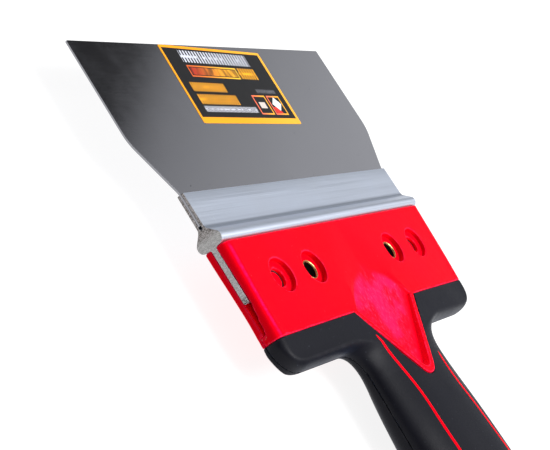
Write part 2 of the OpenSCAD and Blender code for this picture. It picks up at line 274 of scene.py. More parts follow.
def red_lower(x, y, z):
    """Lower half of the housing, with the pegs and the core of the grip."""
    p = REAR_Y - y
    form = both(handle(x, y, z), y - FRONT_Y, 0.35)
    over_slot = np.maximum(-SLOT_Z - PLAY - z, SLOT_END_Y - y)
    housing = both(both(form, -over_slot, 0.22), p, 0.2)
    behind = np.where(y > SLOT_END_Y, housing, np.maximum(housing, z - PART_Z))
    core = np.maximum(handle(x, y, z, SKIN_T), -1 - p)
    ring = both(hang_hole(x, p, HANG_R + HANG_RING), -z - 9.8, 0.5)
    body = np.minimum(behind, np.maximum(np.minimum(core, ring), z - PART_Z))
    peg = both(np.hypot(np.abs(x) - PEG_X, y - RIVET_Y) - PEG_HOLE_R + 0.25, z - PEG_TOP_Z, 0.4)
    body = np.minimum(body, np.maximum(peg, -z - 2))
    under = np.hypot(np.abs(x) - RIVET_X, y - RIVET_Y)
    body = both(body, TUBE_R + PLAY - under, 0.25)
    body = both(body, -both(under - RECESS_R, z - UNDER_RECESS_Z, 0.4), 0.35)
    return both(body, -hang_hole(x, p, HANG_R), 0.5)


def rubber(x, y, z, side):
    """Soft skin over one half of the core: side 1 above the parting plane, -1 below."""
    p = REAR_Y - y
    past = side * (PART_Z - z)
    skin = both(both(handle(x, y, z), 0.06 - p, 0.35), past + 0.01, 0.1)
    skin = both(skin, -np.maximum(handle(x, y, z, SKIN_T - PLAY), past - 1), 0.2)
    return both(skin, -hang_hole(x, p, HANG_R + 2.1), 0.3)


def rubber_upper(x, y, z):
    return both(rubber(x, y, z, 1), 0.08 - wedge_plan(x, REAR_Y - y), 0.3)


def rubber_lower(x, y, z):
    return rubber(x, y, z, -1)


# --- meshes from fields ---

NET_STEP = 0.5
NET_MARGIN = 1.2                 # space round a piece in which its field is worked out


def gradient(field, v, step):
    """Slope of a field at points, by central differences, and its curvature."""
    middle = field(v[:, 0], v[:, 1], v[:, 2])
    slope = np.empty_like(v)
    spread = -6 * middle
    for axis in range(3):
        off = np.zeros(3)
        off[axis] = step
        ahead, back = v + off, v - off
        fa = field(ahead[:, 0], ahead[:, 1], ahead[:, 2])
        fb = field(back[:, 0], back[:, 1], back[:, 2])
        slope[:, axis] = (fa - fb) / (2 * step)
        spread += fa + fb
    return middle, slope, spread / step**2


def net(field, low, high, step):
    """Points and quads of the right half of the surface where a field is zero."""
    low = (-step / 2, *low[1:])
    counts = [int(math.ceil((b - a) / step)) + 1 for a, b in zip(low, high)]
    grid = [a + step * np.arange(n) for a, n in zip(low, counts)]
    value = field(grid[0][:, None, None], grid[1][None, :, None], grid[2][None, None, :])
    value = np.broadcast_to(value, counts)
    inside = value < 0
    cells = [n - 1 for n in counts]
    owners, spots, faces = [], [], []
    for axis in range(3):
        near = [slice(None)] * 3
        far = [slice(None)] * 3
        near[axis] = slice(0, -1)
        far[axis] = slice(1, None)
        near, far = tuple(near), tuple(far)
        index = np.argwhere(inside[near] != inside[far])
        index = index[index[:, 0] > 0] if axis else index
        a = value[near][tuple(index.T)]
        b = value[far][tuple(index.T)]
        spot = index.astype(float)
        spot[:, axis] += a / (a - b)
        one, two = (axis + 1) % 3, (axis + 2) % 3
        ring = []
        for d1, d2 in ((0, 0), (-1, 0), (-1, -1), (0, -1)):
            cell = index.copy()
            cell[:, one] += d1
            cell[:, two] += d2
            ring.append(np.ravel_multi_index(cell.T, cells))
        ring = np.array(ring).T
        flip = a > 0
        ring[flip] = ring[flip][:, ::-1]
        faces.append(ring)
        owners.append(ring.ravel())
        spots.append(np.repeat(spot, 4, axis=0))
    owners = np.concatenate(owners)
    spots = np.concatenate(spots)
    used, where = np.unique(owners, return_inverse=True)
    total = np.bincount(where)
    points = np.array([np.bincount(where, weights=spots[:, c]) / total for c in range(3)]).T
    points = points * step + np.array(low)
    quads = np.searchsorted(used, np.concatenate(faces))
    on_seam = used < cells[1] * cells[2]
    points[on_seam, 0] = 0
    return points, quads, on_seam


def mirrored(points, quads, on_seam):
    """Both halves from the right one, joined along the middle."""
    other = np.where(on_seam, np.arange(len(points)), np.cumsum(~on_seam) - 1 + len(points))
    left = points[~on_seam] * (-1, 1, 1)
    return np.vstack((points, left)), np.vstack((quads, other[quads][:, ::-1]))


def mesh_object(name, points, faces):
    """Object from points in the tool's millimetres."""
    mesh = bpy.data.meshes.new(name)
    world = np.asarray(points) * MM + np.array(EDGE_MID)
    mesh.from_pydata(world.tolist(), [], np.asarray(faces).tolist())
    mesh.polygons.foreach_set("use_smooth", [True] * len(mesh.polygons))
    mesh.update()
    obj = bpy.data.objects.new(name, mesh)
    bpy.context.scene.collection.objects.link(obj)
    return obj


def keep_applied(obj, kind, **settings):
    """Adds one modifier, with its settings, and applies it."""
    change = obj.modifiers.new(kind, kind)
    for key, value in settings.items():
        setattr(change, key, value)
    graph = bpy.context.evaluated_depsgraph_get()
    mesh = bpy.data.meshes.new_from_object(obj.evaluated_get(graph))
    old = obj.data
    obj.modifiers.clear()
    obj.data = mesh
    bpy.data.meshes.remove(old)
    mesh.name = obj.name


def moulded(name, field, front, low_z, high_z, keep):
    """Piece from a field: fine net, pulled onto the surface, thinned on its flats."""
    near = (0, END_Y - NET_MARGIN, low_z - NET_MARGIN)
    far = (HALF_FRONT + NET_MARGIN, front + NET_MARGIN, high_z + NET_MARGIN)
    points, quads, on_seam = net(field, near, far, NET_STEP)
    for _ in range(2):
        value, slope, _ = gradient(field, points, 0.06)
        size = np.maximum((slope**2).sum(axis=1), 0.2)
        move = -(value / size)[:, None] * slope
        length = np.linalg.norm(move, axis=1, keepdims=True)
        points = points + move * np.minimum(1, 0.45 * NET_STEP / np.maximum(length, 1e-9))
    points, quads = mirrored(points, quads, on_seam)
    obj = mesh_object(name, points, quads)
    keep_applied(obj, "DECIMATE", ratio=keep)
    finish_surface(obj, field)
    return obj


def vertex_places(mesh):
    """Vertices of a mesh in the tool's millimetres."""
    v = np.empty(len(mesh.vertices) * 3)
    mesh.vertices.foreach_get("co", v)
    return (v.reshape(-1, 3) - np.array(EDGE_MID)) / MM


def point_mask(mesh, name, values):
    """Stores one value per vertex, which the materials read by name."""
    mesh.attributes.new(name, "FLOAT", "POINT").data.foreach_set("value", values)


def finish_surface(obj, field):
    """Normals and an edge mask taken from the field itself."""
    mesh = obj.data
    v = vertex_places(mesh)
    _, slope, _ = gradient(field, v, 0.12)
    _, _, bend = gradient(field, v, 0.35)
    normals = slope / np.maximum(np.linalg.norm(slope, axis=1, keepdims=True), 1e-9)
    mesh.polygons.foreach_set("use_smooth", [True] * len(mesh.polygons))
    mesh.normals_split_custom_set_from_vertices(normals.tolist())
    point_mask(mesh, "edge", np.clip(bend, -3, 3) / 3)


# --- thin and extruded pieces ---

def arc(cx, cy, r, start, stop, steps):
    """Points of an arc, with angles in degrees."""
    return [(cx + r * math.cos(math.radians(a)), cy + r * math.sin(math.radians(a)))
            for a in np.linspace(start, stop, steps)]


def sheet(name, outline, low_z, high_z, bevel, segments=2):
    """Flat sheet with softened edges. Its large faces stay flat-shaded."""
    mesh = bmesh.new()
    corners = [mesh.verts.new((x, y, low_z)) for x, y in outline]
    base = mesh.faces.new(corners)
    lifted = bmesh.ops.extrude_face_region(mesh, geom=[base])
    top = [v for v in lifted["geom"] if isinstance(v, bmesh.types.BMVert)]
    bmesh.ops.translate(mesh, verts=top, vec=(0, 0, high_z - low_z))
    bmesh.ops.recalc_face_normals(mesh, faces=mesh.faces)
    rims = [e for e in mesh.edges if abs(e.verts[0].co.z - e.verts[1].co.z) < 1e-6]
    bmesh.ops.bevel(mesh, geom=rims, offset=bevel, segments=segments, profile=0.6, affect="EDGES")
    obj = from_bmesh(name, mesh)
    faces = obj.data.polygons
    faces.foreach_set("use_smooth", [abs(f.normal.z) < 0.999 for f in faces])
    return obj


def from_bmesh(name, mesh, sharp=38):
    """Object from a bmesh in the tool's millimetres, smooth except at its sharp edges."""
    bmesh.ops.scale(mesh, verts=mesh.verts, vec=(MM, MM, MM))
    bmesh.ops.translate(mesh, verts=mesh.verts, vec=EDGE_MID)
    data = bpy.data.meshes.new(name)
    mesh.to_mesh(data)
    mesh.free()
    data.polygons.foreach_set("use_smooth", [True] * len(data.polygons))
    data.set_sharp_from_angle(angle=math.radians(sharp))
    obj = bpy.data.objects.new(name, data)
    bpy.context.scene.collection.objects.link(obj)
    return obj


def rounded_corners(points, radii, steps=5):
    """Outline with each corner replaced by an arc-like curve of its radius."""
    out = []
    for i, (point, r) in enumerate(zip(points, radii)):
        here = Vector(point)
        back = (Vector(points[i - 1]) - here).normalized() * r
        ahead = (Vector(points[(i + 1) % len(points)]) - here).normalized() * r
        if r == 0:
            out.append(point)
            continue
        for u in np.linspace(0, 1, steps):
            spot = here + back * (1 - u) ** 2 + ahead * u**2
            out.append((spot.x, spot.y))
    return out


def blade_piece():
    """Sheet of spring steel that narrows towards the holder."""
    half, front, rear = BLADE[1][0], BLADE[1][1], BLADE[0][1]
    side_y = front - BLADE_SIDE_L
    right = [(half, front), (half, side_y), (HALF_FRONT, LIP_Y), (HALF_FRONT, rear)]
    left = [(-x, y) for x, y in reversed(right)]
    outline = rounded_corners(right + left, [0.5, 3, 1.5, 0, 0, 1.5, 3, 0.5])
    return sheet("steel_blade", outline[::-1], -BLADE_T / 2, BLADE_T / 2, 0.1)


def label_piece():
    """Printed film stuck on the blade, a little askew."""
    low, high = LABEL
    middle = (low + high) / 2
    turn = math.radians(LABEL_TURN)
    w, l = LABEL_W / 2, LABEL_L / 2
    square = rounded_corners([(-w, -l), (w, -l), (w, l), (-w, l)], [0.8] * 4)
    outline = [(middle[0] + x * math.cos(turn) - y * math.sin(turn),
                middle[1] + x * math.sin(turn) + y * math.cos(turn)) for x, y in square]
    return sheet("printed_label", outline, low[2], high[2], 0.03, 1)


def holder_outline():
    """Section of the aluminium holder, as (y, z): lips, bead, tongue and a notched mouth."""
    bead_y, bead_z, bead_r = LIP_Y - 15.6, 2.5, 2.0
    upper = [(LIP_Y, 0.42), (LIP_Y, 0.9)]
    upper += arc(LIP_Y - 0.25, 0.9, 0.25, 0, 90, 4)[1:]
    upper += [(LIP_Y - 5, 1.2), (LIP_Y - 10.4, 1.24)]
    upper += [(LIP_Y - 11.2, 1.3), (LIP_Y - 11.7, 1.5), (LIP_Y - 12.1, 1.85)]
    upper += arc(bead_y, bead_z, bead_r, 43, 176, 15)
    upper += [(bead_y - 2.0, 2.1), (bead_y - 2.06, 1.6), (bead_y - 2.2, 1.2)]
    upper += [(bead_y - 2.5, SLOT_Z)]
    upper += [(TONGUE_Y + 0.25, SLOT_Z), (TONGUE_Y, SLOT_Z - 0.25)]
    lower = [(y, -z) for y, z in reversed(upper)]
    gap = BLADE_T / 2 + 0.02
    mouth_end = LIP_Y - 10.4
    notch = [(mouth_end, gap), (mouth_end - 0.3, 0.55)]
    notch += [(mouth_end - 0.7, 0.5), (mouth_end - 1.3, 0.05)]
    mouth = [(LIP_Y, -gap)] + [(y, -z) for y, z in notch] + notch[::-1] + [(LIP_Y, gap)]
    return upper + lower + mouth


def holder_piece():
    """Extrusion cut to length, with burred sawn ends and holes for the rivets and pegs."""
    mesh = bmesh.new()
    outline = holder_outline()
    ring = [mesh.verts.new((-HALF_FRONT, y, z)) for y, z in outline]
    cap = mesh.faces.new(ring)
    lifted = bmesh.ops.extrude_face_region(mesh, geom=[cap])
    far_end = [v for v in lifted["geom"] if isinstance(v, bmesh.types.BMVert)]
    bmesh.ops.translate(mesh, verts=far_end, vec=(2 * HALF_FRONT, 0, 0))
    bmesh.ops.recalc_face_normals(mesh, faces=mesh.faces)
    ends = [e for e in mesh.edges if abs(e.verts[0].co.x - e.verts[1].co.x) < 1e-6]
    bmesh.ops.bevel(mesh, geom=ends, offset=0.09, segments=1, affect="EDGES")
    obj = from_bmesh("alu_holder", mesh, 30)
    for side in (-1, 1):
        drill(obj, side * RIVET_X, RIVET_Y, TUBE_R + PLAY)
        drill(obj, side * PEG_X, RIVET_Y, PEG_HOLE_R + PEG_GAP)
    return obj


def drill(obj, x, y, r):
    """Cuts one upright round hole."""
    mesh = bmesh.new()
    bmesh.ops.create_cone(mesh, cap_ends=True, segments=40, radius1=r, radius2=r, depth=8,
                          matrix=Matrix.Translation((x, y, 0)))
    tool = from_bmesh("drill", mesh)
    keep_applied(obj, "BOOLEAN", operation="DIFFERENCE", solver="EXACT", object=tool)
    bpy.data.objects.remove(tool)


def turned(name, profile, centres, segments=64):
    """Closed profile of (radius, z) turned round one or more upright axes."""
    mesh = bmesh.new()
    for cx, cy in centres:
        rings = []
        for k in range(segments):
            a = 2 * math.pi * k / segments
            rings.append([mesh.verts.new((cx + r * math.cos(a), cy + r * math.sin(a), z))
                          for r, z in profile])
        for k, ring in enumerate(rings):
            after = rings[(k + 1) % segments]
            for i in range(len(profile)):
                j = (i + 1) % len(profile)
                mesh.faces.new((ring[i], after[i], after[j], ring[j]))
    bmesh.ops.recalc_face_normals(mesh, faces=mesh.faces)
    return from_bmesh(name, mesh, 50)


def rivet_piece():
    """Two tube rivets, each with a rolled rim at both ends."""
    low, high = RIVETS[0][2], RIVETS[1][2]
    bore, wall, roll = 2.6, TUBE_R - 0.02, 0.2
    top = arc(RIM_R - roll, high - roll, roll, -60, 160, 9)
    bottom = [(r, low + high - z) for r, z in reversed(top)]
    inner = [(bore + 0.08, high - 0.25), (bore, high - 0.7)]
    inner += [(bore, low + 0.7), (bore + 0.08, low + 0.25)]
    outer = [(wall, low + 0.75), (wall, high - 0.75)]
    centres = [(-RIVET_X, RIVET_Y), (RIVET_X, RIVET_Y)]
    return turned("brass_rivets", top + inner + bottom + outer, centres)


def top_of_grip(x, y):
    """Height of the handle's outer form over points in plan, by halving."""
    low = np.full_like(x, 0.0)
    high = np.full_like(x, 9.0)
    for _ in range(24):
        middle = (low + high) / 2
        inside = handle(x, y, middle) < 0
        low = np.where(inside, middle, low)
        high = np.where(inside, high, middle)
    return low


def rib_piece():
    """Two thin red ribs that come up through the soft skin, tapered at their ends."""
    along, across = 220, 9
    last = RIBS[-1][0]
    u = np.linspace(-1, 1, across)
    points, faces = [], []
    for side, first in ((-1, RIBS[0][0]), (1, RIB_RIGHT_P)):
        p = first + (last - first) * np.linspace(0, 1, along) ** 1.3
        middle = eased(RIBS, p, 1)
        point = np.minimum((p - first) / RIB_BLUNT_L, (last - p) / RIB_FADE_L)
        taper = np.sqrt(np.clip(point, 0.001, 1))
        x = side * middle[:, None] + RIB_W / 2 * taper[:, None] * u[None, :]
        y = REAR_Y - np.broadcast_to(p[:, None], x.shape)
        proud = RIB_PROUD * (1 - u[None, :] ** 4) * taper[:, None] - RIB_SUNK
        z = np.minimum(top_of_grip(x, y) + proud, max(SHELL[1][2], GRIP[1][2]))
        base = len(points)
        top = np.stack((x, y, z), axis=-1).reshape(-1, 3)
        foot = top - np.array((0, 0, RIB_T))
        points.extend(top.tolist() + foot.tolist())
        n = along * across
        for i in range(along - 1):
            for j in range(across - 1):
                a = base + i * across + j
                quad = (a, a + across, a + across + 1, a + 1)
                faces.append(quad)
                faces.append(tuple(v + n for v in reversed(quad)))
            for j in (0, across - 1):
                a = base + i * across + j
                wall = (a, a + n, a + across + n, a + across)
                faces.append(wall if j == 0 else wall[::-1])
        for i in (0, along - 1):
            for j in range(across - 1):
                a = base + i * across + j
                end = (a, a + 1, a + 1 + n, a + n)
                faces.append(end if i == 0 else end[::-1])
    obj = mesh_object("red_accent_ribs", points, faces)
    mesh = bmesh.new()
    mesh.from_mesh(obj.data)
    bmesh.ops.recalc_face_normals(mesh, faces=mesh.faces)
    mesh.to_mesh(obj.data)
    mesh.free()
    obj.data.set_sharp_from_angle(angle=math.radians(60))
    return obj


# --- materials ---

class Shader:
    """A material under construction, with short names for its nodes."""

    def __init__(self, name, **fixed):
        self.material = bpy.data.materials.new(name)
        self.material.use_nodes = True
        self.tree = self.material.node_tree
        self.tree.nodes.clear()
        sockets = {k.replace("_", " "): v for k, v in fixed.items()}
        self.surface = self.node("BsdfPrincipled", sockets)
        out = self.node("OutputMaterial", {})
        self.tree.links.new(self.surface.outputs[0], out.inputs[0])
        place = self.node("TexCoord", {}).outputs["Object"]
        moved = self.node("VectorMath", {0: place, 1: tuple(EDGE_MID)},
                          operation="SUBTRACT").outputs[0]
        self.mm = self.node("VectorMath", {0: moved, "Scale": 1 / MM}, operation="SCALE").outputs[0]

    def node(self, kind, inputs, **settings):
        """New node of a kind, with its inputs linked or set."""
        new = self.tree.nodes.new("ShaderNode" + kind)
        for key, value in settings.items():
            setattr(new, key, value)
        for key, value in inputs.items():
            self.feed(new.inputs[key], value)
        return new

    def feed(self, socket, value):
        if isinstance(value, bpy.types.NodeSocket):
            self.tree.links.new(value, socket)
        elif isinstance(value, tuple) and len(value) == 3 and socket.type == "RGBA":
            socket.default_value = (*value, 1)
        else:
            socket.default_value = value

    def set(self, **values):
        """Links or sets inputs of the surface shader."""
        for key, value in values.items():
            self.feed(self.surface.inputs[key.replace("_", " ")], value)

    def calc(self, operation, a, b=0.0):
        return self.node("Math", {0: a, 1: b}, operation=operation).outputs[0]

    def times(self, first, *others):
        for value in others:
            first = self.calc("MULTIPLY", first, value)
        return first

    def part(self, vector, axis):
        return self.node("SeparateXYZ", {0: vector}).outputs[axis]

    def mix(self, factor, a, b):
        new = self.node("Mix", {}, data_type="RGBA")
        for index, value in ((0, factor), (6, a), (7, b)):
            self.feed(new.inputs[index], value)
        return new.outputs[2]

    def stretch(self, scale, vector=None):
        return self.node("Mapping", {"Vector": vector or self.mm, "Scale": scale}).outputs[0]

    def noise(self, scale, detail=2.0, rough=0.5, vector=None):
        """Noise with features of about 1 / scale millimetres."""
        return self.node("TexNoise", {"Vector": vector or self.mm, "Scale": scale, "Detail": detail,
                                      "Roughness": rough}).outputs[0]

    def span(self, value, low, high, to_low=0.0, to_high=1.0):
        """Smooth ramp between two values of a socket."""
        return self.node("MapRange", {0: value, 1: low, 2: high, 3: to_low, 4: to_high},
                         interpolation_type="SMOOTHSTEP").outputs[0]

    def band(self, value, low, high, soft):
        """1 between two values, 0 outside, with soft edges."""
        rise = self.span(value, low - soft, low + soft)
        fall = self.span(value, high - soft, high + soft, 1.0, 0.0)
        return self.times(rise, fall)

    def mask(self, name):
        return self.node("Attribute", {}, attribute_name=name).outputs["Fac"]

    def bump(self, height, strength, distance):
        """Normal from a height in millimetres times distance."""
        return self.node("Bump", {"Strength": strength, "Distance": distance * MM,
                                  "Height": height}).outputs[0]


def red_plastic():
    """Satin moulded plastic: saturated red, pale edges that are partly wear and partly painted
    highlight, painted shade in the creases and on the side faces, a painted highlight along the
    housing's side roundings, scuffed thumb rest.
    """
    s = Shader("red_plastic", Specular_IOR_Level=0.02, Sheen_Weight=0.03, Sheen_Roughness=0.5)
    s.set(Specular_Tint=(1.0, 0.35, 0.75), Sheen_Tint=(1.0, 0.05, 0.55))
    broad = s.noise(0.03, 3)
    fine = s.noise(2.6, 4, 0.6)
    edge = s.mask("edge")
    rest = s.mask("rest")
    across, along, up = (s.part(s.mm, k) for k in range(3))
    base = s.mix(broad, (0.88, 0.0, 0.004), (0.96, 0.0, 0.012))
    # Painted shade: concave creases and recess corners darkened towards a deep red.
    crease_shade = s.span(edge, -0.1, -0.55)
    base = s.mix(s.times(crease_shade, 0.55), base, (0.42, 0.0, 0.004))
    # Pale pink on sharp convex edges: partly wear, partly painted highlight.
    edge_wear_and_highlight = s.times(s.span(edge, 0.22, 0.75), s.span(s.noise(0.9, 3), 0.32, 0.6, 0.35, 1.0))
    base = s.mix(s.times(edge_wear_and_highlight, 0.5), base, (1.0, 0.03, 0.12))
    streaks = s.noise(1.0, 4, 0.7, s.stretch((2.6, 0.5, 1.0)))
    scuff = s.times(rest, s.span(streaks, 0.5, 0.72))
    haze = s.times(rest, s.span(s.noise(0.11, 3), 0.38, 0.62, 0.1, 1.0))
    base = s.mix(s.times(haze, 0.14), base, (1.0, 0.05, 0.45))
    base = s.mix(s.times(scuff, 0.3), base, (1.0, 0.14, 0.42))
    flash = s.times(s.span(s.calc("ABSOLUTE", across), HALF_FRONT - 2.6, HALF_FRONT - 1.2),
                    s.band(along, REAR_Y - 0.2, SLOT_END_Y + 0.2, 0.4),
                    s.band(up, PART_Z + 0.2, 0.1, 0.4),
                    s.span(s.noise(1.3, 3, 0.7), 0.6, 0.66))
    base = s.mix(flash, base, (1.0, 0.42, 0.42))
    dust = s.span(s.noise(1.7, 1, 0.4), 0.79, 0.83)
    base = s.mix(s.times(dust, 0.3), base, (1.0, 0.35, 0.4))
    facing = s.calc("ABSOLUTE", s.part(s.node("NewGeometry", {}).outputs["Normal"], 0))
    # Painted highlight: a pink band where the housing's long sides round over into the top.
    rounding_highlight_and_wear = s.times(s.band(facing, 0.22, 0.5, 0.12),
                     s.band(along, REAR_Y - 0.5, FRONT_Y - 1.5, 1.5))
    outer = s.span(s.calc("ABSOLUTE", across), HALF_FRONT - 5, HALF_FRONT - 3.5)
    patchy = s.span(s.noise(0.8, 4, 0.7), 0.3, 0.7, 0.25, 0.8)
    rounding_highlight_and_wear = s.times(rounding_highlight_and_wear, s.span(up, 2.2, 3.2), outer, patchy)
    base = s.mix(rounding_highlight_and_wear, base, (1.0, 0.006, 0.14))
    # Painted shade: faces that look across, to either side, darkened towards a deep red.
    base = s.mix(s.times(s.span(facing, 0.5, 0.95), 0.6), base, (0.36, 0.0, 0.003))
    rough = s.calc("ADD", s.span(fine, 0.3, 0.7, 0.33, 0.43), s.times(rest, 0.16))
    height = s.calc("ADD", s.times(fine, s.span(rest, 0.0, 1.0, 0.35, 1.0)),
                    s.times(s.noise(0.25, 2), 1.6))
    s.set(Base_Color=base, Roughness=rough, Normal=s.bump(height, 0.4, 0.09))
    return s.material


def soft_rubber():
    """Matte soft-touch rubber, blue-black, with lighter convex edges that are partly handling wear
    and partly painted highlight, and dust.
    """
    s = Shader("soft_rubber", Specular_IOR_Level=0.12, Sheen_Weight=0.04, Sheen_Roughness=0.4)
    s.set(Sheen_Tint=(0.35, 0.5, 0.9))
    broad = s.noise(0.05, 4, 0.6)
    grain = s.noise(3.2, 3, 0.6)
    edge = s.mask("edge")
    base = s.mix(broad, (0.0030, 0.0030, 0.0055), (0.0052, 0.0052, 0.0092))
    # Lighter convex edges, broken by noise: partly handling wear, partly painted highlight.
    rounding_highlight_and_wear = s.times(s.span(edge, 0.08, 0.6), s.span(s.noise(0.4, 4), 0.4, 0.65))
    base = s.mix(s.times(rounding_highlight_and_wear, 0.5), base, (0.022, 0.022, 0.028))
    specks = s.span(s.noise(1.5, 1, 0.4), 0.76, 0.81)
    base = s.mix(s.times(specks, 0.35), base, (0.14, 0.16, 0.2))
    rough = s.calc("ADD", s.span(grain, 0.3, 0.7, 0.40, 0.50), s.span(broad, 0.3, 0.7, -0.04, 0.05))
    height = s.calc("ADD", grain, s.times(s.noise(0.35, 2), 0.8))
    s.set(Base_Color=base, Roughness=rough, Normal=s.bump(height, 0.35, 0.07))
    return s.material


def holder_metal():
    """Mill-finish aluminium with drawing lines along its length and sawn ends."""
    s = Shader("drawn_aluminium", Metallic=1.0)
    along, up = s.part(s.mm, 1), s.part(s.mm, 2)
    lines = s.noise(1.0, 4, 0.65, s.stretch((0.012, 3.4, 3.4)))
    fine = s.noise(1.0, 3, 0.7, s.stretch((0.03, 14.0, 14.0)))
    broad = s.noise(0.04, 3)
    base = s.mix(lines, (0.62, 0.68, 0.80), (0.76, 0.82, 0.94))
    base = s.mix(s.span(broad, 0.35, 0.65, 0.0, 0.25), base, (0.66, 0.70, 0.78))
    # Painted shade: a dark blue-grey line in the valley between the lips and the bead.
    valley_shade = s.band(along, LIP_Y - 12.6, LIP_Y - 11.0, 0.3)
    valley_shade = s.times(valley_shade, s.span(s.calc("ABSOLUTE", up), 1.05, 1.2))
    base = s.mix(s.times(valley_shade, 0.5), base, (0.22, 0.26, 0.33))
    scratch = s.times(s.span(s.noise(1.0, 1, 0.3, s.stretch((1.5, 0.06, 1.0))), 0.73, 0.76),
                      s.span(s.noise(0.07, 1), 0.52, 0.58))
    base = s.mix(s.times(scratch, 0.6), base, (0.9, 0.93, 0.97))
    facing = s.calc("ABSOLUTE", s.part(s.node("NewGeometry", {}).outputs["Normal"], 0))
    sawn = s.span(facing, 0.45, 0.8)
    teeth = s.noise(1.0, 4, 0.8, s.stretch((1.0, 4.5, 1.4)))
    burr = s.times(s.span(along, TONGUE_Y + 2.6, TONGUE_Y + 0.8), sawn)
    ends = s.mix(s.span(teeth, 0.38, 0.66), (0.10, 0.09, 0.08), (0.56, 0.53, 0.53))
    ends = s.mix(s.times(s.span(along, LIP_Y - 13, LIP_Y - 15.5), 0.5), ends, (0.55, 0.56, 0.56))
    ends = s.mix(s.times(burr, s.span(teeth, 0.6, 0.4)), ends, (0.05, 0.045, 0.04))
    base = s.mix(sawn, base, ends)
    rough = s.calc("ADD", s.span(lines, 0.3, 0.7, 0.38, 0.48), s.times(sawn, 0.2))
    height = s.calc("ADD", s.times(lines, 0.7), s.times(fine, 0.3))
    height = s.calc("ADD", s.times(height, 0.12), s.times(teeth, sawn, 2.4))
    s.set(Base_Color=base, Roughness=rough, Normal=s.bump(height, 0.5, 0.09))
    return s.material


def blade_steel():
    """Polished stainless sheet: faint grain, a few specks, darker softened edges."""
    s = Shader("polished_steel", Metallic=1.0)
    grain = s.noise(1.0, 3, 0.6, s.stretch((0.10, 7.0, 1.0)))
    broad = s.noise(0.018, 2)
    cloud = s.noise(0.12, 3)
    base = s.mix(broad, (0.50, 0.50, 0.545), (0.58, 0.58, 0.625))
    specks = s.span(s.noise(0.85, 1, 0.4), 0.80, 0.825)
    base = s.mix(s.times(specks, 0.75), base, (0.08, 0.08, 0.09))
    # The softened edges, whose normals lean away from upright, are darkened.
    upright = s.part(s.node("NewGeometry", {}).outputs["Normal"], 2)
    edge = s.span(s.calc("ABSOLUTE", upright), 0.9, 0.4)
    base = s.mix(s.times(edge, 0.7), base, (0.16, 0.16, 0.17))
    rough = s.calc("ADD", s.span(grain, 0.3, 0.7, 0.07, 0.10), s.span(cloud, 0.35, 0.65, 0.0, 0.03))
    s.set(Base_Color=base, Roughness=rough, Normal=s.bump(grain, 0.25, 0.012))
    return s.material


def rivet_brass():
    """Bright brass rims over a bore painted near black as shade."""
    s = Shader("tube_brass", Metallic=1.0)
    up = s.part(s.mm, 2)
    tone = s.noise(1.2, 3, 0.6)
    base = s.mix(tone, (0.46, 0.31, 0.11), (0.70, 0.53, 0.25))
    low, high = RIVETS[0][2], RIVETS[1][2]
    # Painted shade: the inside of the tube, between the rims, is near black.
    bore = s.band(up, low + 0.45, high - 0.45, 0.12)
    base = s.mix(bore, base, (0.012, 0.009, 0.006))
    rough = s.calc("ADD", s.span(tone, 0.3, 0.7, 0.2, 0.34), s.times(bore, 0.4))
    s.set(Base_Color=base, Roughness=rough, Normal=s.bump(s.noise(4.0, 2), 0.3, 0.03))
    return s.material


# Parts of the label, in millimetres from its front left corner: left, right,
# front and rear side, and its colours
LABEL_BARS = (
    (9.1, 48.5, 1.7, 6.3, (0.62, 0.64, 0.72)),
    (38.3, 48.9, 7.3, 11.6, (0.95, 0.42, 0.01)),
    (5.2, 24.1, 14.0, 17.4, (0.93, 0.40, 0.015)),
    (5.2, 27.4, 18.5, 22.2, (0.93, 0.40, 0.015)),
    (5.2, 35.9, 22.9, 25.1, (0.60, 0.61, 0.68)),
    (42.4, 54.6, 15.6, 17.1, (0.13, 0.13, 0.15)),
)
LABEL_BOXES = (
    (9.3, 37.6, 7.4, 11.8, 0.5, (0.70, 0.12, 0.02), (0.98, 0.55, 0.03)),
    (37.6, 45.6, 18.1, 25.7, 0.55, (0.90, 0.16, 0.08), (0.98, 0.45, 0.03)),
    (46.7, 54.7, 18.1, 25.7, 0.55, (0.90, 0.16, 0.08), (0.98, 0.45, 0.03)),
)


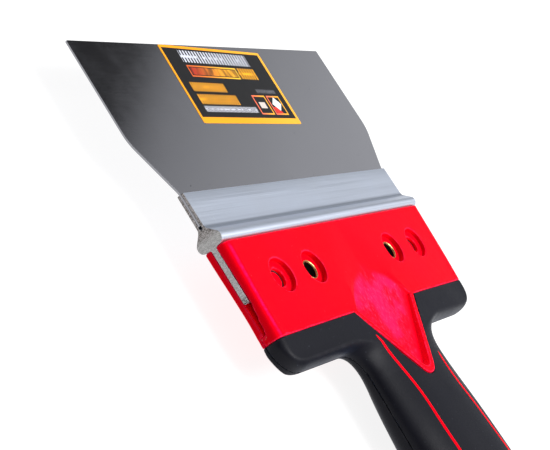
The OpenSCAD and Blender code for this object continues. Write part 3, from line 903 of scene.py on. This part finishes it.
def label_print():
    """Dark field in an orange frame, with rows of plain strokes and boxes, no letters."""
    s = Shader("label_print", Specular_IOR_Level=0.2, Roughness=0.4,
               Coat_Weight=0.1, Coat_Roughness=0.15)
    middle = (LABEL[0] + LABEL[1]) / 2
    turn = (0, 0, math.radians(LABEL_TURN))
    flat = s.node("Mapping", {"Vector": s.mm, "Location": tuple(middle), "Rotation": turn},
                  vector_type="TEXTURE").outputs[0]
    u = s.calc("ADD", s.part(flat, 0), LABEL_W / 2)
    v = s.calc("SUBTRACT", LABEL_L / 2, s.part(flat, 1))
    soft = 0.07

    def rect(left, right, front, rear):
        return s.times(s.band(u, left, right, soft), s.band(v, front, rear, soft))

    ink = s.noise(0.25, 2)
    field = s.mix(ink, (0.0042, 0.004, 0.0045), (0.008, 0.0078, 0.009))
    frame_tone = s.mix(s.span(u, 20.0, 58.0), (0.95, 0.36, 0.008), (0.93, 0.43, 0.03))
    colour = s.mix(rect(1.0, LABEL_W - 1.5, 1.0, LABEL_L - 2.2), frame_tone, field)
    for left, right, front, rear, line, near, far in LABEL_BOXES:
        tone = s.mix(s.span(u, left, right), near, far)
        ring = s.calc("SUBTRACT", rect(left, right, front, rear),
                      rect(left + line, right - line, front + line, rear - line))
        colour = s.mix(ring, colour, tone)
    glow = s.mix(s.span(u, 10.0, 36.5), (0.42, 0.03, 0.012), (0.93, 0.42, 0.02))
    streak = s.span(s.noise(1.0, 2, 0.5, s.stretch((0.35, 0.1, 1.0), flat)), 0.4, 0.6, 0.35, 1.0)
    inner = s.times(rect(10.1, 36.8, 8.2, 11.0), streak)
    colour = s.mix(inner, colour, glow)
    for row, (left, right, front, rear, tone) in enumerate(LABEL_BARS):
        rate = 1 / (0.36 * (rear - front))
        cell = s.calc("FLOOR", s.times(u, rate))
        pick = s.node("TexWhiteNoise", {"W": s.calc("ADD", cell, 31.7 * row)},
                      noise_dimensions="1D").outputs[0]
        stroke = s.band(s.calc("FRACT", s.times(u, rate)), 0.12, 0.62, 0.06)
        waist = s.band(v, front + (rear - front) * 0.4, front + (rear - front) * 0.6, 0.08)
        shown = s.calc("MAXIMUM", stroke, s.times(waist, s.span(pick, 0.5, 0.52)))
        colour = s.mix(s.times(rect(left, right, front, rear), shown), colour, tone)
    colour = s.mix(rect(39.6, 43.4, 20.8, 23.2), colour, (0.62, 0.55, 0.5))
    across = s.calc("SUBTRACT", u, 50.9)
    down = s.calc("SUBTRACT", v, 21.4)
    tilted = s.calc("MAXIMUM", s.calc("ABSOLUTE", s.calc("ADD", across, down)),
                    s.calc("ABSOLUTE", s.calc("SUBTRACT", across, down)))
    colour = s.mix(s.span(tilted, 2.9, 2.7), colour, (0.88, 0.88, 0.88))
    fold = s.span(s.calc("SUBTRACT", across, down), -2.4, -2.8)
    corner = s.times(rect(47.6, 53.9, 22.6, 25.0), fold)
    colour = s.mix(corner, colour, (0.75, 0.03, 0.02))
    s.set(Base_Color=colour, Normal=s.bump(s.noise(0.3, 2), 0.2, 0.03))
    return s.material


def pale_floor():
    """Near-white paper floor."""
    s = Shader("pale_floor", Specular_IOR_Level=0.0, Roughness=0.9, Emission_Strength=0.88)
    s.set(Emission_Color=(1.0, 1.0, 1.0))
    tone = s.noise(0.004, 3)
    s.set(Base_Color=s.mix(tone, (0.19, 0.19, 0.19), (0.21, 0.21, 0.21)))
    return s.material


# --- build ---

def add_rest_mask(obj):
    """Marks the surface of the thumb rest, for its scuffed finish."""
    x, y, z = vertex_places(obj.data).T
    p = REAR_Y - y
    depth = crest(x, p) - thumb_rest(x, p)
    on_floor = soft_step(0.35, 0.9, depth) * soft_step(0.5, 0.2, np.abs(z - thumb_rest(x, p)))
    inside = soft_step(0.4, 6, -np.maximum(wedge_plan(x, p) + RIM_W, -20)) * soft_step(-24, -6, p)
    point_mask(obj.data, "rest", on_floor * inside * (p < 26))


# For each moulded piece: its field, front, lowest and highest z, and the share
# of its faces that is kept
upper_shell = moulded("red_upper_shell", red_upper, FRONT_Y, PART_Z, 5.5, 0.42)
lower_shell = moulded("red_lower_shell", red_lower, FRONT_Y, LOWEST_Z, 2.5, 0.32)
upper_grip = moulded("soft_upper_grip", rubber_upper, REAR_Y, PART_Z, 7.5, 0.35)
lower_grip = moulded("soft_lower_grip", rubber_lower, REAR_Y, LOWEST_Z, PART_Z, 0.35)
add_rest_mask(upper_shell)
ribs = rib_piece()
red = red_plastic()
soft = soft_rubber()
PIECES = (
    (upper_shell, "upper_shell", "red_plastic", red),
    (ribs, "upper_shell", "red_plastic", red),
    (lower_shell, "lower_shell", "red_plastic", red),
    (upper_grip, "upper_grip", "soft_grip", soft),
    (lower_grip, "lower_grip", "soft_grip", soft),
    (blade_piece(), "blade", "blade_steel", blade_steel()),
    (label_piece(), "blade_label", "label", label_print()),
    (holder_piece(), "blade_holder", "holder_aluminium", holder_metal()),
    (rivet_piece(), "tube_rivets", "rivet_brass", rivet_brass()),
)
for piece, node, slot, material in PIECES:
    piece.data.materials.clear()
    piece.data.materials.append(material)
    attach(piece, "root")
    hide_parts(node)


# --- floor, lights and camera ---

def floor():
    """Large flat floor under the tool."""
    mesh = bmesh.new()
    bmesh.ops.create_grid(mesh, x_segments=4, y_segments=4, size=2500)
    bmesh.ops.translate(mesh, verts=mesh.verts, vec=(0, 0, -EDGE_MID.z / MM))
    obj = from_bmesh("floor", mesh)
    obj.data.materials.append(pale_floor())


def area_light(name, place, size, power):
    """Soft box that looks at the middle of the tool."""
    data = bpy.data.lights.new(name, "AREA")
    data.shape = "RECTANGLE"
    data.size, data.size_y = size
    data.energy = power
    obj = bpy.data.objects.new(name, data)
    bpy.context.scene.collection.objects.link(obj)
    obj.location = EDGE_MID + Vector(place)
    target = EDGE_MID + Vector((0, -0.1, 0))        # over the handle
    obj.rotation_euler = (obj.location - target).to_track_quat("Z", "Y").to_euler()


# Light of the surroundings, as stops of (place, level). Up to 30 degrees above
# the horizon the place is the direction's y plus AROUND_TILT times its z. From
# there OVERHEAD fades by z to OVER_FRONT, which goes by y. LEFT_TO_RIGHT goes by x
AROUND_TILT = 0.82
AROUND = ((-0.4, 0.66), (0.0, 0.56), (0.3, 0.56), (0.53, 0.50), (0.6, 0.42), (0.645, 0.36),
          (0.67, 0.32), (0.695, 0.25), (0.717, 0.05), (0.77, 0.03), (0.8, 0.25), (0.84, 0.5),
          (1.1, 0.5))
OVERHEAD = ((0.5, 0.0), (0.75, 1.0))
OVER_FRONT = ((0.0, 1.0), (0.22, 0.75), (0.36, 0.08), (0.5, 0.2), (0.8, 0.6))
LEFT_TO_RIGHT = ((-0.6, 0.35), (0.2, 1.0))


def ramp(tree, value, stops):
    """Curve through (value, level) stops, as a socket."""
    curve = tree.nodes.new("ShaderNodeFloatCurve")
    low, high = stops[0][0], stops[-1][0]
    scaled = tree.nodes.new("ShaderNodeMapRange")
    scaled.inputs[1].default_value, scaled.inputs[2].default_value = low, high
    tree.links.new(value, scaled.inputs[0])
    tree.links.new(scaled.outputs[0], curve.inputs["Value"])
    points = curve.mapping.curves[0].points
    while len(points) < len(stops):
        points.new(0.5, 0.5)
    for point, (at, level) in zip(points, stops):
        point.location = ((at - low) / (high - low), level)
        point.handle_type = "AUTO_CLAMPED"
    curve.mapping.update()
    return curve.outputs[0]


def studio():
    """World made of soft ramps, so that the flat blade mirrors a smooth gradient."""
    world = bpy.data.worlds.new("studio")
    bpy.context.scene.world = world
    world.use_nodes = True
    tree = world.node_tree
    tree.nodes.clear()
    out = tree.nodes.new("ShaderNodeOutputWorld")
    sky = tree.nodes.new("ShaderNodeBackground")
    split = tree.nodes.new("ShaderNodeSeparateXYZ")
    tree.links.new(tree.nodes.new("ShaderNodeTexCoord").outputs["Generated"], split.inputs[0])
    side = ramp(tree, split.outputs[0], LEFT_TO_RIGHT)
    tilted = tree.nodes.new("ShaderNodeMath")
    tilted.operation = "MULTIPLY_ADD"
    tree.links.new(split.outputs[2], tilted.inputs[0])
    tilted.inputs[1].default_value = AROUND_TILT
    tree.links.new(split.outputs[1], tilted.inputs[2])
    around = ramp(tree, tilted.outputs[0], AROUND)
    overhead = ramp(tree, split.outputs[2], OVERHEAD)
    front = ramp(tree, split.outputs[1], OVER_FRONT)
    dimmed = tree.nodes.new("ShaderNodeMath")
    dimmed.operation = "MULTIPLY"
    tree.links.new(side, dimmed.inputs[0])
    tree.links.new(around, dimmed.inputs[1])
    level = tree.nodes.new("ShaderNodeMix")
    tree.links.new(overhead, level.inputs[0])
    tree.links.new(dimmed.outputs[0], level.inputs[2])
    tree.links.new(front, level.inputs[3])
    tree.links.new(level.outputs[0], sky.inputs["Strength"])
    sky.inputs["Color"].default_value = (0.965, 0.98, 1.0, 1)
    tree.links.new(sky.outputs[0], out.inputs[0])


def camera():
    """Camera to the left of the tool and above it, rolled."""
    data = bpy.data.cameras.new("camera")
    data.lens = 93.3
    data.sensor_width = 36.0
    data.clip_start = 0.01
    obj = bpy.data.objects.new("camera", data)
    bpy.context.scene.collection.objects.link(obj)
    place = EDGE_MID + Vector((-392.7, -152.8, 186.8)) * MM
    aim = EDGE_MID + Vector((-27.0, -66.1, 0.0)) * MM
    turn = (aim - place).to_track_quat("-Z", "Y").to_matrix()
    roll = Matrix.Rotation(math.radians(51.84), 3, "Z")
    obj.matrix_world = Matrix.Translation(place) @ (turn @ roll).to_4x4()
    bpy.context.scene.camera = obj


floor()
studio()
area_light("overhead", (0.1, -0.45, 0.95), (0.8, 0.8), 15)
camera()
bpy.context.scene.view_settings.view_transform = "Standard"
